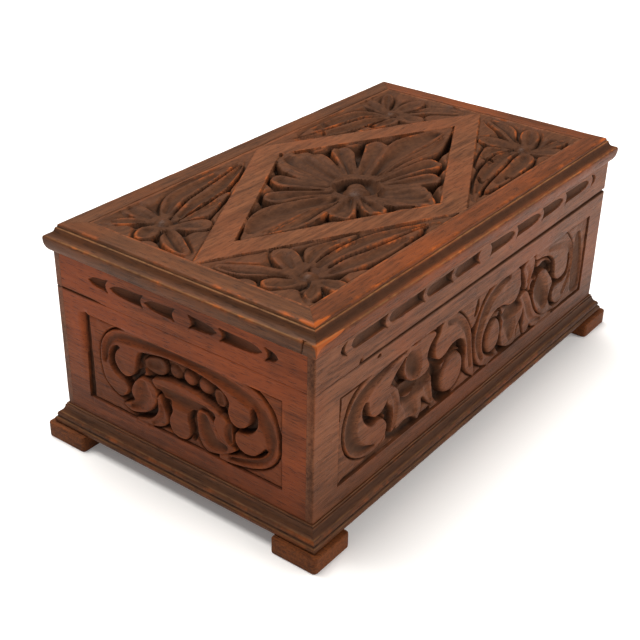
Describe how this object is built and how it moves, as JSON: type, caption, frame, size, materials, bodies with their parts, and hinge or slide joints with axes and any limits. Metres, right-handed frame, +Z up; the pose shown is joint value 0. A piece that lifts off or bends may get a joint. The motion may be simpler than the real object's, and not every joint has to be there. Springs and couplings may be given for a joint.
{
  "type": "carved wooden jewelry box",
  "caption": "Rectangular carved walnut box on block feet, with a moulded hinged lid carrying a flower in a diamond, scroll carved sides and a padded velvet lining.",
  "frame": {"origin": "on the table under the centre of the box, at the underside of the feet", "axes": "+X along the long front towards its right end, -Y out of the long front, +Z up"},
  "size_m": [0.2968, 0.1768, 0.1224],
  "materials": {
    "board_wood": "dark red brown stained and waxed, semi-gloss, worn arrises",
    "carved_wood": "dark stained carving, waxed, darker in the ground",
    "moulding_wood": "dark stained, rubbed through to orange on the arrises",
    "foot_wood": "matt, lighter orange brown",
    "hinge_brass": "aged, dull",
    "velvet": "dark red pile"
  },
  "bodies": {
    "box": {"body_front": "board_wood", "body_back": "board_wood", "body_left": "board_wood", "body_right": "board_wood", "floor_board": "board_wood", "base_moulding_front": "moulding_wood", "base_moulding_back": "moulding_wood", "base_moulding_left": "moulding_wood", "base_moulding_right": "moulding_wood", "foot_front_left": "foot_wood", "foot_front_right": "foot_wood", "foot_back_left": "foot_wood", "foot_back_right": "foot_wood", "hinge_leaf_body_left": "hinge_brass", "hinge_leaf_body_right": "hinge_brass", "hinge_pin_left": "hinge_brass", "hinge_pin_right": "hinge_brass", "screw_body_left_1": "hinge_brass", "screw_body_left_2": "hinge_brass", "screw_body_right_1": "hinge_brass", "screw_body_right_2": "hinge_brass", "lining_floor": "velvet", "lining_front": "velvet", "lining_back": "velvet", "lining_left": "velvet", "lining_right": "velvet"},
    "lid": {"lid_front": "board_wood", "lid_back": "board_wood", "lid_left": "board_wood", "lid_right": "board_wood", "lid_panel": "carved_wood", "lid_rim_front": "moulding_wood", "lid_rim_back": "moulding_wood", "lid_rim_left": "moulding_wood", "lid_rim_right": "moulding_wood", "hinge_leaf_lid_left": "hinge_brass", "hinge_leaf_lid_right": "hinge_brass", "screw_lid_left_1": "hinge_brass", "screw_lid_left_2": "hinge_brass", "screw_lid_right_1": "hinge_brass", "screw_lid_right_2": "hinge_brass", "lining_lid": "velvet"}
  },
  "joints": [
    {"name": "lid_hinge", "type": "hinge", "parent": "box", "child": "lid", "pos_m": [0, 0.0819, 0.08935], "axis": [-1, 0, 0], "range_deg": [0, 100]}
  ]
}
